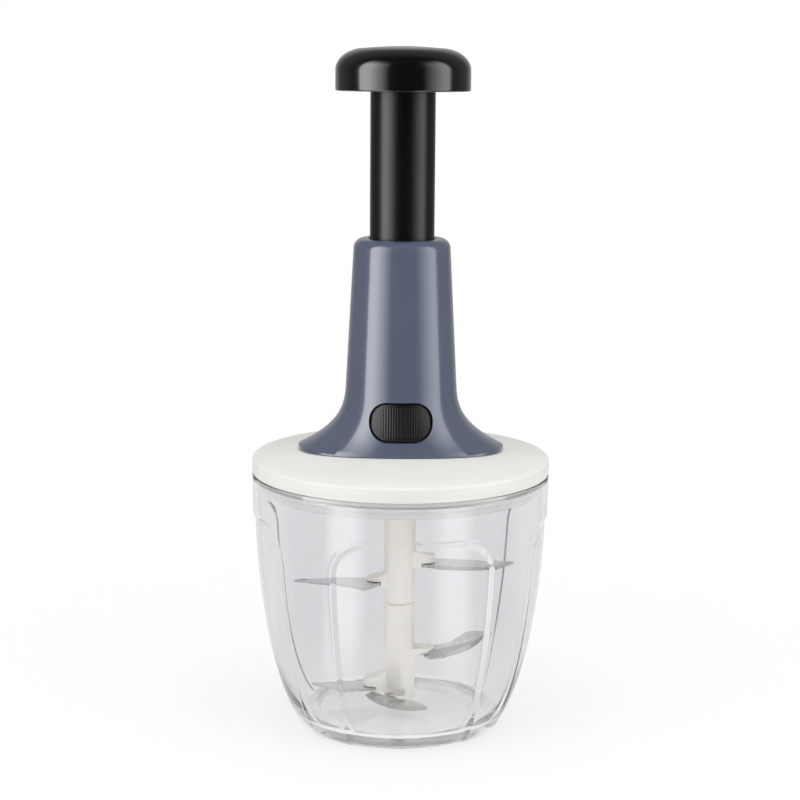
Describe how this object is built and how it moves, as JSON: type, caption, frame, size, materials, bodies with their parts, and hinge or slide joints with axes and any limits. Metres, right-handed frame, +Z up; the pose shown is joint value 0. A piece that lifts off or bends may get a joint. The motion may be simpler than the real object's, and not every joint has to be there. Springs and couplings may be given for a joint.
{
  "type": "vegetable chopper",
  "caption": "Hand-press vegetable chopper: pushing the knob down turns a twisted bar that spins tiered blades inside a clear lidded bowl.",
  "frame": {"origin": "centre of the bowl's foot, on the surface it stands on", "axes": "+Z up along the plunger's axis, -Y towards the lock button (the front), +X to the right seen from the front"},
  "size_m": [0.13, 0.13, 0.296],
  "materials": {
    "clear_plastic": "clear, glossy, injection moulded",
    "blade_steel": "ground stainless steel",
    "screw_steel": "zinc-plated",
    "spring_steel": "drawn wire and sheet, bright",
    "cream": "fine satin, cream",
    "off_white": "satin, off-white",
    "silicone": "matte, off-white",
    "acetal": "smooth, natural",
    "blue_grey_gloss": "high gloss, blue-grey",
    "black_satin": "satin black",
    "button_black": "ribbed, matte black"
  },
  "bodies": {
    "bowl_side": {"bowl": "clear_plastic", "pivot_pin": "blade_steel"},
    "rotor": {"upper_hub": "cream", "lower_hub": "cream", "blade_upper_right": "blade_steel", "blade_upper_left": "blade_steel", "blade_lower_right": "blade_steel", "blade_floor_left": "blade_steel", "blade_floor_front": "blade_steel"},
    "head": {"lid": "off_white", "lid_gasket": "silicone", "clutch_cover": "acetal", "handle_shell": "blue_grey_gloss", "collar_bush": "black_satin", "guide_sleeve": "acetal", "clutch_plate": "blade_steel", "cover_screw_1": "screw_steel", "cover_screw_2": "screw_steel", "cover_screw_3": "screw_steel", "sleeve_screw_left": "screw_steel", "sleeve_screw_right": "screw_steel", "handle_screw_left": "screw_steel", "handle_screw_right": "screw_steel"},
    "plunger": {"press_knob": "black_satin", "knob_base": "black_satin", "plunger_tube": "black_satin", "drive_nut": "acetal", "nut_screw_front": "screw_steel", "nut_screw_back": "screw_steel", "return_spring": "spring_steel"},
    "bar": {"twisted_bar": "blade_steel", "spring_seat": "acetal", "drive_dog": "acetal", "dog_pin": "blade_steel", "retaining_clip": "spring_steel"},
    "socket": {"drive_socket": "acetal"},
    "button": {"lock_button": "button_black", "latch_tongue": "blade_steel", "button_spring_left": "spring_steel", "button_spring_right": "spring_steel"}
  },
  "joints": [
    {"name": "head_lift", "type": "slide", "parent": "bowl_side", "child": "head", "axis": [0, 0, 1], "range_m": [0, 0.15]},
    {"name": "plunger_press", "type": "slide", "parent": "head", "child": "plunger", "axis": [0, 0, -1], "range_m": [0, 0.058], "stiffness_N_per_m": 250, "springref_m": -0.04, "deforming": ["return_spring"]},
    {"name": "bar_spin", "type": "hinge", "parent": "head", "child": "bar", "pos_m": [0, 0, 0.1], "axis": [0, 0, -1], "range_deg": [0, 720]},
    {"name": "socket_spin", "type": "hinge", "parent": "head", "child": "socket", "pos_m": [0, 0, 0.1], "axis": [0, 0, -1], "range_deg": [0, 720]},
    {"name": "blade_spin", "type": "hinge", "parent": "bowl_side", "child": "rotor", "pos_m": [0, 0, 0.1], "axis": [0, 0, -1], "range_deg": [0, 720]},
    {"name": "lock_button", "type": "slide", "parent": "head", "child": "button", "axis": [0, 1, 0], "range_m": [0, 0.0016], "stiffness_N_per_m": 400, "springref_m": -0.003, "deforming": ["button_spring_left", "button_spring_right"]}
  ],
  "couplings": [
    {"joint": "bar_spin", "follows": "plunger_press", "rad_per_m": 216.66},
    {"joint": "socket_spin", "follows": "plunger_press", "rad_per_m": 216.66},
    {"joint": "blade_spin", "follows": "plunger_press", "rad_per_m": 216.66}
  ]
}
